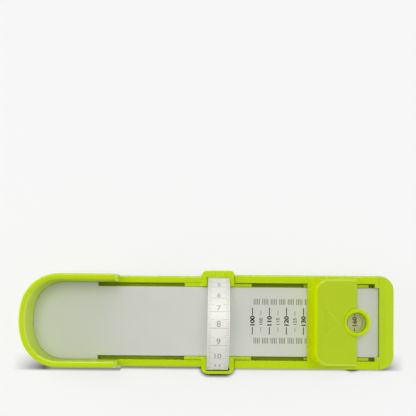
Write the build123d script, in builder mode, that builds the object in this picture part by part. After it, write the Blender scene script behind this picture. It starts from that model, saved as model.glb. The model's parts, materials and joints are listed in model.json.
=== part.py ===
from build123d import *
import os
from math import asin, atan2, cos, degrees, radians, sin, tan

# Foot gauge for small children, in millimetres. X runs from the heel to the toes, Y across the
# foot and Z up. The origin is on the floor under the middle of the gauge.

# ---------------------------------------------------------------- plan of the base
plate_length = 202.6        # heel stop to the toe end of the scale plate
plate_width = 40.5          # scale plate between the two grooves
plate_gap = 0.1             # plate to its frame
groove_width = 2.4
groove_start = 38.1         # heel stop to the closed end of the grooves
carriage_rail_width = 4.0   # low rail beside the carriage
toe_rail_width = 4.75       # high rail beside the toe slider
end_cap_length = 8.8
cap_seam = 0.15             # cap to the tray and the plate
end_cap_corner = 8.5        # plan radius of the two toe corners
end_cap_flat = 3.6          # level part of the cap's top, before it slopes to the toe end
end_cap_drop = 1.2          # how far that slope falls

# ---------------------------------------------------------------- heights of the base
foot_height = 4.0           # rubber feet, tray underside above the floor
deck_height = 6.5           # tray underside to the deck that carries the plate
plate_thickness = 1.5
groove_floor = 2.2          # tray left under the grooves
undercut_height = 2.5
undercut_width = 2.0        # how far the undercut runs out under the rail
undercut_start = 76.0       # heel stop to the closed end of the undercuts
carriage_rail_drop = 0.8    # low rail below the plate's top
toe_rail_rise = 2.5         # high rail above the plate's top
hollow_depth = 3.8          # hollow in the tray's underside
hollow_wall = 2.0
rail_edge = 1.2             # rounding of the outer rail edges

# ---------------------------------------------------------------- heel cup
heel_nose_radius = 35.6     # plan radius of the heel stop's middle
heel_corner_radius = 17.7   # plan radius of the tighter arcs that lead into the sides
heel_height = 22.0          # heel lip above the plate's top
heel_wall = 3.75            # wall at the lip
heel_flare = 1.0            # how much further out the wall stands at its foot
heel_cup_length = 50.0      # heel stop to the open end of the cup
heel_edge = 1.2             # rounding of the lip, outside
heel_inner_edge = 2.0       # and inside
heel_flange_width = 5.8     # foot of the wall, under the plate
heel_flange_thickness = 1.3
tray_heel_wall = 2.0        # tray wall inside the cup's skirt
skirt_gap = 0.1

# ---------------------------------------------------------------- fasteners
boss_radius = 2.2
screw_radius = 1.1
screw_head_radius = 2.8
screw_head_height = 1.4
small_screw_radius = 0.6
small_head_radius = 1.15
small_head_height = 0.6
heel_screw_angles = (180, 103, 257)
cap_screw_spacing = 26.0
cap_ear_length = 6.4
cap_ear_width = 34.0
cap_ear_thickness = 2.4
cap_wall = 2.2
tongue_length = 2.4         # end cap's tongues in the groove ends
cap_boss_radius = 2.6

# ---------------------------------------------------------------- rubber feet
foot_radius = 4.5
foot_recess = 0.8
foot_edge = 0.8
toe_foot_inset = 13.0       # feet from the toe end of the tray
toe_foot_spacing = 44.5
heel_foot_inset = 30.0      # feet from the heel stop
heel_foot_spacing = 32.0

# ---------------------------------------------------------------- toe slider
runner_room = 3.2           # runners to the end cap's tongues, where the slider stands
slider_length = 28.55
slider_width = 51.6
flange_thickness = 1.2
flange_gap = 0.3            # flange above the high rail
flange_edge = 0.35          # rounding of the flange's upper edges
toe_lip_thickness = 2.0
hood_height = 27.0          # crest of the hood's slope, before its rounding, above the plate's top
hood_low_height = 6.4       # hood above the plate's top at its low end
hood_inset = 0.4            # hood inside the flange
hood_corner = 9.0
hood_draft = 3.7            # degrees
hood_wall = 1.5
hood_edge = 1.6             # rounding of the hood's upper edges
hood_boss_height = 8.0
hood_boss_bite = 0.4        # how far the screw bosses run into the hood's toe wall
hood_screw_length = 7.0     # in the boss
hood_screw_spacing = 30.0
arrow_base = 16.2           # raised arrow on the hood
arrow_height = 8.5
arrow_relief = 0.5
arrow_bevel = 45.0          # slope of the arrow's edges, in degrees
arrow_place = 8.2           # toe stop to the arrow's base

# ---------------------------------------------------------------- reading window
window_place = 27.55        # toe stop to the middle of the window
window_height = 10.0        # ring above the plate's top
window_radius = 8.0
pane_radius = 5.7
pane_seat = 0.7
pane_level = 4.5            # underside of the pane above the plate's top
pane_thickness = 1.2
pane_edge = 0.2             # rounding of the pane's upper edge
window_gap = 0.5            # ring above the plate
window_edge = 1.0           # rounding of the ring's upper edges

# ---------------------------------------------------------------- runners
runner_lead = 1.55          # runner ahead of the toe stop
runner_length = 37.8
runner_gap = 0.3
runner_neck_start = 10.25   # toe stop to the runner's full-height part
runner_neck_end = 26.55
runner_top_gap = 0.1        # full-height part below the plate's top
stake_radius = 0.7
stake_head_radius = 1.3
stake_head_height = 0.6
head_edge = 0.3             # rounding of stake and rivet heads
stakes = (13.0, 18.8, 24.6)   # toe stop to each stake

# ---------------------------------------------------------------- friction spring
spring_thickness = 0.3
spring_width = 6.0
spring_place = 5.0          # toe stop to the spring
spring_span = 12.0
spring_tab = 2.5            # flat end under the flange
spring_overlap = 0.5        # of the flat end and the bow
spring_gap = 0.1            # spring above the plate

# ---------------------------------------------------------------- tape carriage
carriage_place = 108.6      # heel stop to the middle of the carriage
loop_width = 19.0
loop_window = 13.5
near_throat = 1.75          # room for the tape between the rail's saddle and the near outer wall
far_throat = 1.75           # and on the far side, where only its clamp is
loop_rise = 3.5             # loops above the plate's top
near_loop_wall = 1.8
far_loop_wall = 1.0
near_corner = 3.5
far_corner = 2.6
loop_edge = 0.5
saddle_gap = 0.3            # saddle above the low rail, and loops outside it
saddle_thickness = 1.2
shoulder_gap = 0.3
wing_length = 39.4
wing_thickness = 1.5
wing_gap = 0.2
wing_edge = 0.3             # rounding of the wings' upper edges
lip_thickness = 1.2
lip_length = 2.9            # far lip, inward from the outer wall
lip_round = 1.1             # the tape bends round this edge of the lip

# ---------------------------------------------------------------- sleeve under the tray
sleeve_bottom = 0.6         # sleeve above the floor
sleeve_lower = 0.9
sleeve_channel = 0.7
sleeve_gap = 0.4            # sleeve below the tray
sleeve_joint = 0.2          # sleeve's upper plate to the loops' legs
pin_radius = 0.8

# ---------------------------------------------------------------- tape
tape_width = 12.4
tape_thickness = 0.45
tape_wall_gap = 0.5         # near leg inside the near loop's outer wall
tape_bend = 1.2             # radius of the bend at the far lip
tape_tuck = 1.6             # fixed end, straight under the far lip
arch_far_angle = 63.0       # slope of the arch where it leaves the far lip, in degrees
arch_crown_radius = 17.0
arch_crown_far_angle = 35.0     # slopes at the two ends of the crown
arch_crown_near_angle = 35.0
arch_foot = 1.4             # near foot of the arch above the plate's top
tape_split = 4.85           # from the turning pin to where the tail begins
tape_split_gap = 0.3
clamp_width = 2.4
clamp_thickness = 1.3
clamp_gap = 0.2             # clamp to the loop around it
rivet_radius = 0.7
rivet_head_radius = 0.95
rivet_head_height = 0.4
rivet_spacing = 5.7
rivet_inset = 1.3           # rivets inside the far loop's outer wall
tab_length = 4.8
tab_overhang = 0.8          # tab beyond the far loop's outer face
tab_gap = 0.5               # tab to the sleeve
tab_bottom = 0.75
tab_thickness = 2.6
tab_width = 12.4
tab_edge = 0.6
tab_wall = 1.4              # tab beyond the tape's end
tab_rivet_radius = 0.8

# ---------------------------------------------------------------- levels worked out
z_tray = foot_height
z_deck = z_tray + deck_height
z_plate = z_deck + plate_thickness
z_groove = z_tray + groove_floor
z_undercut = z_groove + undercut_height
z_hollow = z_tray + hollow_depth
z_seat = z_deck - heel_flange_thickness
z_low_rail = z_plate - carriage_rail_drop
z_high_rail = z_plate + toe_rail_rise
z_lip = z_plate + heel_height
z_flange = z_high_rail + flange_gap
z_flange_top = z_flange + flange_thickness
z_hood = z_plate + hood_height
z_hood_low = z_plate + hood_low_height
z_window = z_plate + window_height
z_loop = z_plate + loop_rise
z_saddle = z_low_rail + saddle_gap
z_wing = z_plate - runner_top_gap
z_wing_under = z_wing - wing_thickness
z_sleeve = sleeve_bottom + sleeve_lower
z_channel = z_sleeve + sleeve_channel
z_sleeve_top = z_tray - sleeve_gap
z_tape = z_sleeve + sleeve_channel / 2
z_lip_under = z_loop - lip_thickness
z_clamp = z_lip_under - tape_thickness

# ---------------------------------------------------------------- places worked out
plate_half = plate_width / 2
heel_radius = plate_half + groove_width
tray_heel_radius = heel_radius + tray_heel_wall
low_rail_half = heel_radius + carriage_rail_width
high_rail_half = heel_radius + toe_rail_width
hollow_half = plate_half - hollow_wall
slider_half = slider_width / 2
heel_outer = heel_radius + heel_wall + heel_flare
x_heel = heel_outer - heel_radius - (heel_outer - heel_radius + plate_length + end_cap_length) / 2
x_heel_centre = x_heel + heel_radius
x_cup_end = x_heel + heel_cup_length
x_groove = x_heel + groove_start
x_tray_end = x_heel + plate_length
x_cap = x_tray_end + cap_seam
x_cap_end = x_tray_end + end_cap_length
x_carriage = x_heel + carriage_place
x_shoulder = x_carriage + loop_width / 2 + shoulder_gap
x_toe = x_tray_end - tongue_length - runner_room - runner_length + runner_lead
x_slider_end = x_toe + slider_length
x_window = x_toe + window_place
x_runner = x_toe - runner_lead
x_runner_end = x_runner + runner_length
x_neck = x_toe + runner_neck_start
sides = {"near": -1, "far": 1}


def block(x0, x1, y0, y1, z0, z1, mode=Mode.ADD):
    """A straight block between two corners."""
    with Locations(((x0 + x1) / 2, (y0 + y1) / 2, (z0 + z1) / 2)):
        Box(x1 - x0, abs(y1 - y0), z1 - z0, mode=mode)


def block_pair(x0, x1, y0, y1, z0, z1, mode=Mode.ADD):
    """The same block on the near and the far side."""
    block(x0, x1, y0, y1, z0, z1, mode)
    block(x0, x1, -y0, -y1, z0, z1, mode)


def post(x, y, z0, z1, radius, mode=Mode.ADD):
    """An upright round bar, or a hole."""
    with Locations((x, y, (z0 + z1) / 2)):
        Cylinder(radius, z1 - z0, mode=mode)


def heel_outline(half, x_end, mode=Mode.ADD):
    """A strip with a round heel end, drawn in the current sketch: a flat arc between two tighter ones."""
    step = heel_nose_radius - heel_corner_radius
    turn = asin((heel_radius - heel_corner_radius) / step)
    x_corner = x_heel + heel_nose_radius - step * cos(turn)
    corner, nose = heel_corner_radius + half - heel_radius, heel_nose_radius + half - heel_radius
    near, far = (x_corner, -half), (x_corner, half)
    with BuildLine() as outline:
        Polyline(near, (x_end, -half), (x_end, half), far)
        far_corner = JernArc(far, (-1, 0), corner, 90 - degrees(turn))
        heel_end = JernArc(far_corner @ 1, far_corner % 1, nose, 2 * degrees(turn))
        JernArc(heel_end @ 1, heel_end % 1, corner, 90 - degrees(turn))
    make_face(outline.edges(), mode=mode)


def top_edges(part, level):
    """The edges of a part that lie at one level."""
    return part.edges().filter_by_position(Axis.Z, level - 0.01, level + 0.01)


def turn_step(heading, new_heading):
    """How far a left turn of radius 1 goes along Y and Z, between two headings in degrees from +Y."""
    start, end = radians(heading), radians(new_heading)
    return sin(end) - sin(start), cos(start) - cos(end)


def save(part, name):
    part.label = name
    export_step(part, f"parts/{name}.step")


os.makedirs("parts", exist_ok=True)

# ================================================================ base
heel_screw_ring = heel_radius - heel_flange_width / 2
heel_screws = [
    (x_heel_centre + heel_screw_ring * cos(radians(a)), heel_screw_ring * sin(radians(a)))
    for a in heel_screw_angles
]
cap_screws = [
    (x_tray_end + cap_ear_length / 2, y) for y in (-cap_screw_spacing / 2, cap_screw_spacing / 2)
]
toe_feet = [(x_tray_end - toe_foot_inset, side * toe_foot_spacing / 2) for side in (-1, 1)]
heel_feet = [(x_heel + heel_foot_inset, side * heel_foot_spacing / 2) for side in (-1, 1)]
feet = heel_feet + toe_feet

with BuildPart() as base_tray:
    # heel end, inside the cup's skirt
    with BuildSketch(Plane.XY.offset(z_tray)):
        heel_outline(tray_heel_radius, x_cup_end)
    extrude(amount=z_seat - z_tray)
    # low and high rails
    block(x_cup_end, x_shoulder, -low_rail_half, low_rail_half, z_tray, z_low_rail)
    block(x_shoulder, x_tray_end, -high_rail_half, high_rail_half, z_tray, z_high_rail)
    fillet(
        base_tray.edges().filter_by(Axis.X).filter_by_position(Axis.Z, z_low_rail, z_high_rail),
        radius=rail_edge,
    )
    # deck under the plate
    block(x_cup_end, x_tray_end, -plate_half, plate_half, z_deck, z_high_rail, Mode.SUBTRACT)
    with BuildSketch(Plane.XY.offset(z_seat)):
        heel_outline(heel_radius - heel_flange_width - skirt_gap, x_cup_end)
    extrude(amount=z_deck - z_seat)
    block(x_groove - plate_gap, x_cup_end, -plate_half, plate_half, z_seat, z_deck)
    # grooves and their undercuts
    block_pair(x_groove, x_tray_end, plate_half, heel_radius, z_groove, z_high_rail, Mode.SUBTRACT)
    block_pair(
        x_heel + undercut_start,
        x_tray_end,
        plate_half,
        heel_radius + undercut_width,
        z_groove,
        z_undercut,
        Mode.SUBTRACT,
    )
    # hollow underside, with pads for the heel feet
    block(
        x_heel_centre, x_tray_end - hollow_wall, -hollow_half, hollow_half, z_tray, z_hollow, Mode.SUBTRACT
    )
    post(x_heel_centre, 0, z_tray, z_hollow, tray_heel_radius - hollow_wall, Mode.SUBTRACT)
    for x, y in heel_feet:
        post(x, y, z_tray, z_hollow, foot_radius + hollow_wall / 2)
    for x, y in feet:
        post(x, y, z_tray, z_tray + foot_recess, foot_radius, Mode.SUBTRACT)
    # holes for the heel cup's bosses
    for x, y in heel_screws:
        post(x, y, z_hollow, z_seat, boss_radius + skirt_gap, Mode.SUBTRACT)
    # ear under the end cap
    block(
        x_tray_end - hollow_wall,
        x_tray_end + cap_ear_length,
        -cap_ear_width / 2,
        cap_ear_width / 2,
        z_tray,
        z_tray + cap_ear_thickness,
    )
    for x, y in cap_screws:
        post(x, y, z_tray, z_tray + cap_ear_thickness, screw_radius + skirt_gap, Mode.SUBTRACT)
        post(x, y, z_tray, z_tray + screw_head_height, screw_head_radius, Mode.SUBTRACT)
save(base_tray.part, "base_tray")

with BuildPart() as heel_cup:
    # leaning outer face
    with BuildSketch(Plane.XY.offset(z_tray)):
        heel_outline(heel_outer, x_cup_end + heel_outer)
    extrude(amount=z_lip - z_tray, taper=degrees(atan2(heel_flare, z_lip - z_tray)))
    fillet(top_edges(heel_cup, z_lip), radius=heel_edge)
    block(
        x_cup_end, x_cup_end + 2 * heel_outer, -2 * heel_outer, 2 * heel_outer, 0, 2 * z_lip, Mode.SUBTRACT
    )
    # room for the foot, and for the tray inside the skirt
    with BuildSketch(Plane.XY.offset(z_seat)):
        heel_outline(heel_radius, x_cup_end)
    extrude(amount=z_lip - z_seat, mode=Mode.SUBTRACT)
    inner_rim = heel_cup.edges(Select.LAST).filter_by_position(Axis.Z, z_lip - 0.01, z_lip + 0.01)
    inner_rim = inner_rim.filter_by(lambda rim: rim.center().X < x_cup_end - 0.01)
    fillet(inner_rim, radius=heel_inner_edge)
    with BuildSketch(Plane.XY.offset(z_tray)):
        heel_outline(tray_heel_radius + skirt_gap, x_cup_end)
    extrude(amount=z_seat - z_tray, mode=Mode.SUBTRACT)
    # foot flange under the plate, with its screw bosses
    with BuildSketch(Plane.XY.offset(z_seat)):
        heel_outline(heel_radius + heel_wall / 2, x_groove - 2 * plate_gap)
        heel_outline(heel_radius - heel_flange_width, x_groove, Mode.SUBTRACT)
    extrude(amount=heel_flange_thickness)
    for x, y in heel_screws:
        post(x, y, z_hollow, z_seat, boss_radius)
        post(x, y, z_hollow, z_deck, screw_radius, Mode.SUBTRACT)
save(heel_cup.part, "heel_cup")

with BuildPart() as heel_cup_screws:
    for x, y in heel_screws:
        post(x, y, z_hollow, z_deck, screw_radius)
        post(x, y, z_hollow - screw_head_height, z_hollow, screw_head_radius)
save(heel_cup_screws.part, "heel_cup_screws")

with BuildPart() as scale_plate:
    with BuildSketch(Plane.XY.offset(z_deck)):
        heel_outline(heel_radius - plate_gap, x_groove)
        with Locations(((x_groove + x_tray_end) / 2, 0)):
            Rectangle(x_tray_end - x_groove, plate_width)
    extrude(amount=plate_thickness)
save(scale_plate.part, "scale_plate")

with BuildPart() as end_cap:
    with BuildSketch(Plane.XY.offset(z_tray)):
        with Locations(((x_cap + x_cap_end) / 2, 0)):
            Rectangle(x_cap_end - x_cap, 2 * high_rail_half)
    extrude(amount=z_high_rail - z_tray)
    toe_corners = end_cap.edges().filter_by(Axis.Z).group_by(Axis.X)[-1]
    fillet(toe_corners, radius=end_cap_corner)
    seam = end_cap.edges().filter_by_position(Axis.X, x_cap - 0.01, x_cap + 0.01)
    fillet(top_edges(end_cap, z_high_rail) - seam, radius=rail_edge)
    # the top slopes down to the toe end
    with BuildSketch(Plane.XZ):
        x_slope = x_tray_end + end_cap_flat
        z_slope_end = z_high_rail - end_cap_drop
        Polygon((x_slope, z_high_rail), (x_cap_end, z_high_rail), (x_cap_end, z_slope_end), align=None)
    extrude(amount=2 * high_rail_half, both=True, mode=Mode.SUBTRACT)
    # tongues that close the grooves
    block_pair(x_tray_end - tongue_length, x_cap, plate_half, heel_radius, z_groove, z_high_rail)
    # hollow, open below, with room for the tray's ear
    x_hollow = x_tray_end + cap_wall
    x_hollow_end = x_cap_end - cap_wall
    y_hollow = high_rail_half - end_cap_corner
    block(x_hollow, x_hollow_end, -y_hollow, y_hollow, z_tray, z_high_rail - cap_wall, Mode.SUBTRACT)
    ear_half = cap_ear_width / 2 + skirt_gap
    z_ear = z_tray + cap_ear_thickness
    block(
        x_cap, x_tray_end + cap_ear_length + skirt_gap, -ear_half, ear_half, z_tray, z_ear, Mode.SUBTRACT
    )
    for x, y in cap_screws:
        post(x, y, z_ear, z_high_rail - cap_wall, cap_boss_radius)
        post(x, y, z_ear, z_plate, screw_radius, Mode.SUBTRACT)
save(end_cap.part, "end_cap")

with BuildPart() as end_cap_screws:
    for x, y in cap_screws:
        post(x, y, z_tray + screw_head_height, z_plate, screw_radius)
        post(x, y, z_tray, z_tray + screw_head_height, screw_head_radius)
save(end_cap_screws.part, "end_cap_screws")

with BuildPart() as rubber_feet:
    for x, y in feet:
        post(x, y, 0, z_tray + foot_recess, foot_radius)
    fillet(top_edges(rubber_feet, 0), radius=foot_edge)
save(rubber_feet.part, "rubber_feet")

# ================================================================ toe slider
hood_screws_at = [
    (x_toe + hood_inset + hood_wall + boss_radius - hood_boss_bite, y)
    for y in (-hood_screw_spacing / 2, hood_screw_spacing / 2)
]
stake_places = [(x_toe + s, side * (plate_half + groove_width / 2)) for s in stakes for side in (-1, 1)]

with BuildPart() as slider_frame:
    block(x_toe, x_slider_end, -slider_half, slider_half, z_flange, z_flange_top)
    fillet(top_edges(slider_frame, z_flange_top), radius=flange_edge)
    # lower edge of the toe stop, just above the plate
    lip_half = plate_half - 2 * runner_gap
    block(x_toe, x_toe + toe_lip_thickness, -lip_half, lip_half, z_plate + runner_gap, z_flange)
    post(x_window, 0, z_flange, z_flange_top, window_radius, Mode.SUBTRACT)
    for x, y in hood_screws_at:
        post(x, y, z_flange, z_flange_top, small_screw_radius + skirt_gap, Mode.SUBTRACT)
    for x, y in stake_places:
        post(x, y, z_flange, z_flange_top, stake_radius, Mode.SUBTRACT)
save(slider_frame.part, "slider_frame")

hood_slope = atan2(z_hood - z_hood_low, slider_length - hood_inset)


def hood_solid(inset):
    """The wedge of the hood, or of its hollow when it is inset by the wall."""
    half = slider_half - hood_inset - inset
    x0 = x_toe + hood_inset + inset
    x1 = x_slider_end - inset
    with BuildPart() as wedge:
        with BuildSketch(Plane.XY.offset(z_flange_top)) as foot:
            with Locations(((x0 + x1) / 2, 0)):
                Rectangle(x1 - x0, 2 * half)
            fillet(foot.vertices().group_by(Axis.X)[0], radius=hood_corner - inset)
        extrude(amount=z_hood - z_flange_top, taper=hood_draft)
        drop = inset / cos(hood_slope)
        with BuildSketch(Plane.XZ):
            Polygon(
                (x_toe, z_hood - drop),
                (x_slider_end, z_hood_low - drop),
                (x_slider_end, 2 * z_hood),
                (x_toe, 2 * z_hood),
                align=None,
            )
        extrude(amount=2 * slider_width, both=True, mode=Mode.SUBTRACT)
    return wedge.part


with BuildPart() as toe_hood:
    add(hood_solid(0))
    slope_face = toe_hood.faces().sort_by(Axis.Z)[-1]
    fillet(slope_face.edges(), radius=hood_edge)
    add(hood_solid(hood_wall), mode=Mode.SUBTRACT)
    for x, y in hood_screws_at:
        post(x, y, z_flange_top, z_flange_top + hood_boss_height, boss_radius)
        post(x, y, z_flange_top, z_flange_top + hood_screw_length, small_screw_radius, Mode.SUBTRACT)
    post(x_window, 0, z_flange_top, z_hood, window_radius, Mode.SUBTRACT)
    # raised arrow on the slope
    x_arrow = x_toe + arrow_place
    z_arrow = z_hood - (x_arrow - x_toe) * tan(hood_slope)
    slope = Plane(
        origin=(x_arrow, 0, z_arrow),
        x_dir=(cos(hood_slope), 0, -sin(hood_slope)),
        z_dir=(sin(hood_slope), 0, cos(hood_slope)),
    )
    arrow_tip = arrow_height / cos(hood_slope)
    with BuildSketch(slope):
        with BuildLine():
            Polyline((0, -arrow_base / 2), (arrow_tip, 0), (0, arrow_base / 2), close=True)
        make_face()
    extrude(amount=arrow_relief, taper=arrow_bevel)
save(toe_hood.part, "toe_hood")

with BuildPart() as hood_screws:
    for x, y in hood_screws_at:
        post(x, y, z_flange, z_flange_top + hood_screw_length, small_screw_radius)
        post(x, y, z_flange - small_head_height, z_flange, small_head_radius)
save(hood_screws.part, "hood_screws")

for name, side in sides.items():
    with BuildPart() as runner:
        inner = side * (plate_half + runner_gap)
        outer = side * (heel_radius - runner_gap)
        hook = side * (heel_radius + undercut_width - runner_gap)
        z_runner = z_groove + runner_gap
        z_hook = z_undercut - 2 * runner_gap
        block(x_runner, x_runner_end, inner, hook, z_runner, z_hook)
        block(x_runner, x_runner_end, inner, outer, z_hook, z_wing_under - runner_gap)
        block(x_neck, x_runner_end, inner, outer, z_wing_under - runner_gap, z_plate - runner_top_gap)
        block(x_neck, x_toe + runner_neck_end, inner, outer, z_plate - runner_top_gap, z_flange)
        for s in stakes:
            y = side * (plate_half + groove_width / 2)
            post(x_toe + s, y, z_flange, z_flange_top, stake_radius)
            post(x_toe + s, y, z_flange_top, z_flange_top + stake_head_height, stake_head_radius)
        fillet(top_edges(runner, z_flange_top + stake_head_height), radius=head_edge)
    save(runner.part, f"runner_{name}")

with BuildPart() as window_ring:
    z_pane = z_plate + pane_level
    with BuildSketch(Plane.XY.offset(z_plate + window_gap)):
        with Locations((x_window, 0)):
            Circle(window_radius)
    extrude(amount=window_height - window_gap)
    post(x_window, 0, z_plate, z_pane, pane_radius - pane_seat, Mode.SUBTRACT)
    post(x_window, 0, z_pane, z_window, pane_radius, Mode.SUBTRACT)
    fillet(top_edges(window_ring, z_window), radius=window_edge)
save(window_ring.part, "window_ring")

with BuildPart() as window_pane:
    post(x_window, 0, z_pane, z_pane + pane_thickness, pane_radius)
    fillet(top_edges(window_pane, z_pane + pane_thickness), radius=pane_edge)
save(window_pane.part, "window_pane")

with BuildPart() as friction_spring:
    with BuildSketch(Plane.XZ):
        with BuildLine():
            x_bow = x_toe + spring_place
            x_bow_end = x_bow + spring_span
            z_foot = z_plate + spring_gap + spring_thickness / 2
            z_root = z_flange - spring_thickness / 2
            ThreePointArc((x_bow, z_root), ((x_bow + x_bow_end) / 2, z_foot), (x_bow_end, z_root))
        trace(line_width=spring_thickness)
    extrude(amount=spring_width / 2, both=True)
    x_tab = x_bow + spring_overlap - spring_tab
    z_tab = z_flange - spring_thickness
    block(x_tab, x_tab + spring_tab, -spring_width / 2, spring_width / 2, z_tab, z_flange)
save(friction_spring.part, "friction_spring")

# ================================================================ tape carriage
x_loop = x_carriage - loop_width / 2
x_loop_end = x_carriage + loop_width / 2
x_window_start = x_carriage - loop_window / 2
x_window_end = x_carriage + loop_window / 2
y_web = plate_half + wing_gap
y_wing = heel_radius - wing_gap
y_leg = low_rail_half + saddle_gap
near_wall = y_leg + near_throat
far_wall = y_leg + far_throat
near_reach = near_wall + near_loop_wall
far_reach = far_wall + far_loop_wall
leg_middle = (loop_window + (loop_width - loop_window) / 2) / 2
near_screws = -(y_leg + near_reach) / 2
far_screws = (y_leg + far_reach) / 2
y_lip = far_wall - lip_length
y_rivets = far_wall - rivet_inset
y_tape = near_wall - tape_wall_gap
y_pin = y_tape - tape_thickness - pin_radius
y_split = y_pin - tape_split
y_tab_end = far_reach + tab_overhang
y_tab = y_tab_end - tab_length
z_pin = z_tape + tape_thickness / 2 + pin_radius


def carriage_loop(side, y_wall, y_reach, corner, wall_foot):
    """One loop of the carriage, side -1 near or 1 far, with its outer wall open below wall_foot."""
    y_outside = side * y_reach
    with BuildPart() as loop:
        block(x_loop, x_loop_end, side * y_web, y_outside, z_sleeve, z_loop)
        corners = loop.edges().filter_by(Axis.Z).sort_by(Axis.Y)
        fillet(corners[:2] if side < 0 else corners[-2:], radius=corner)
        fillet(top_edges(loop, z_loop), radius=loop_edge)
        # room for the rail
        block(x_loop, x_loop_end, side * y_web, side * y_leg, z_sleeve, z_saddle, Mode.SUBTRACT)
        # window for the tape, down to the saddle's floor and, outside the rail, right through
        floor = z_saddle + saddle_thickness
        block(x_window_start, x_window_end, side * y_web, side * y_leg, floor, z_loop, Mode.SUBTRACT)
        block(x_window_start, x_window_end, side * y_leg, side * y_wall, z_sleeve, z_loop, Mode.SUBTRACT)
        block(x_window_start, x_window_end, side * y_wall, y_outside, z_sleeve, wall_foot, Mode.SUBTRACT)
        # wings in the groove
        x_wing = x_carriage - wing_length / 2
        block(x_wing, x_wing + wing_length, side * y_web, side * y_wing, z_wing_under, z_wing)
        wing_rim = top_edges(loop, z_wing).filter_by(Axis.X)
        fillet(wing_rim, radius=wing_edge)
        block(x_loop, x_loop_end, side * y_web, side * y_wing, z_wing_under, floor)
    return loop.part


with BuildPart() as carriage_near_loop:
    add(carriage_loop(-1, near_wall, near_reach, near_corner, z_channel))
    with Locations(Location((x_carriage, -y_pin, z_pin), (0, 90, 0))):
        Cylinder(pin_radius, loop_width, mode=Mode.SUBTRACT)
    for x in (x_carriage - leg_middle, x_carriage + leg_middle):
        post(x, near_screws, z_sleeve, z_lip_under, small_screw_radius, Mode.SUBTRACT)
save(carriage_near_loop.part, "carriage_near_loop")

with BuildPart() as carriage_far_loop:
    add(carriage_loop(1, far_wall, far_reach, far_corner, z_tray + sleeve_gap))
    with BuildSketch(Plane.YZ.offset(x_window_start)):
        with BuildLine():
            round_end = (y_lip + lip_round, z_lip_under)
            round_start = (y_lip, z_lip_under + lip_round)
            Polyline(round_end, (far_wall, z_lip_under), (far_wall, z_loop), (y_lip, z_loop), round_start)
            RadiusArc(round_start, round_end, -lip_round)
        make_face()
    extrude(amount=loop_window)
    # the tape's fixed end and its clamp hang below the lip
    z_floor = z_saddle + saddle_thickness
    y_floor = y_rivets - clamp_width / 2 - clamp_gap
    block(x_window_start, x_window_end, y_floor, y_leg, z_saddle, z_floor, Mode.SUBTRACT)
    for x in (x_carriage - rivet_spacing / 2, x_carriage + rivet_spacing / 2):
        post(x, y_rivets, z_lip_under, z_loop, rivet_radius, Mode.SUBTRACT)
    for x in (x_carriage - leg_middle, x_carriage + leg_middle):
        post(x, far_screws, z_sleeve, z_lip_under, small_screw_radius, Mode.SUBTRACT)
save(carriage_far_loop.part, "carriage_far_loop")

with BuildPart() as bridge_lower:
    block(x_loop, x_loop_end, -near_reach, far_reach, sleeve_bottom, z_sleeve)
    near_corners = bridge_lower.edges().filter_by(Axis.Z).group_by(Axis.Y)[0]
    far_corners = bridge_lower.edges().filter_by(Axis.Z).group_by(Axis.Y)[-1]
    fillet(near_corners, radius=near_corner)
    fillet(far_corners, radius=far_corner)
    # side rims of the tape's channel
    y_rim_near = y_pin - pin_radius - sleeve_joint
    y_rim_far = y_leg - sleeve_joint
    block(x_loop, x_window_start, -y_rim_near, y_rim_far, z_sleeve, z_channel)
    block(x_window_end, x_loop_end, -y_rim_near, y_rim_far, z_sleeve, z_channel)
    # notch for the pull tab
    y_notch = y_tab - tab_gap
    block(x_window_start, x_window_end, y_notch, far_reach, sleeve_bottom, z_sleeve, Mode.SUBTRACT)
    for x in (x_carriage - leg_middle, x_carriage + leg_middle):
        for y in (near_screws, far_screws):
            post(x, y, sleeve_bottom, z_sleeve, small_screw_radius, Mode.SUBTRACT)
            post(x, y, sleeve_bottom, sleeve_bottom + small_head_height, small_head_radius, Mode.SUBTRACT)
save(bridge_lower.part, "bridge_lower")

with BuildPart() as bridge_upper:
    block(x_loop, x_loop_end, -y_rim_near, y_notch, z_channel, z_sleeve_top)
save(bridge_upper.part, "bridge_upper")

with BuildPart() as bridge_screws:
    for x in (x_carriage - leg_middle, x_carriage + leg_middle):
        for y in (near_screws, far_screws):
            post(x, y, sleeve_bottom + small_head_height, z_lip_under, small_screw_radius)
            post(x, y, sleeve_bottom, sleeve_bottom + small_head_height, small_head_radius)
save(bridge_screws.part, "bridge_screws")

with BuildPart() as turning_pin:
    with Locations(Location((x_carriage, -y_pin, z_pin), (0, 90, 0))):
        Cylinder(pin_radius, loop_width)
save(turning_pin.part, "turning_pin")

with BuildPart() as tape_clamp:
    clamp_half = loop_window / 2 - clamp_gap
    y_clamp = y_rivets - clamp_width / 2
    block(
        x_carriage - clamp_half,
        x_carriage + clamp_half,
        y_clamp,
        y_clamp + clamp_width,
        z_clamp - clamp_thickness,
        z_clamp,
    )
    for x in (x_carriage - rivet_spacing / 2, x_carriage + rivet_spacing / 2):
        post(x, y_rivets, z_clamp - clamp_thickness, z_clamp, rivet_radius, Mode.SUBTRACT)
save(tape_clamp.part, "tape_clamp")

with BuildPart() as clamp_rivets:
    for x in (x_carriage - rivet_spacing / 2, x_carriage + rivet_spacing / 2):
        post(x, y_rivets, z_clamp - clamp_thickness, z_loop, rivet_radius)
        post(x, y_rivets, z_loop, z_loop + rivet_head_height, rivet_head_radius)
        z_rivet = z_clamp - clamp_thickness
        post(x, y_rivets, z_rivet - rivet_head_height, z_rivet, rivet_head_radius)
    fillet(top_edges(clamp_rivets, z_loop + rivet_head_height), radius=head_edge)
save(clamp_rivets.part, "clamp_rivets")

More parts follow.
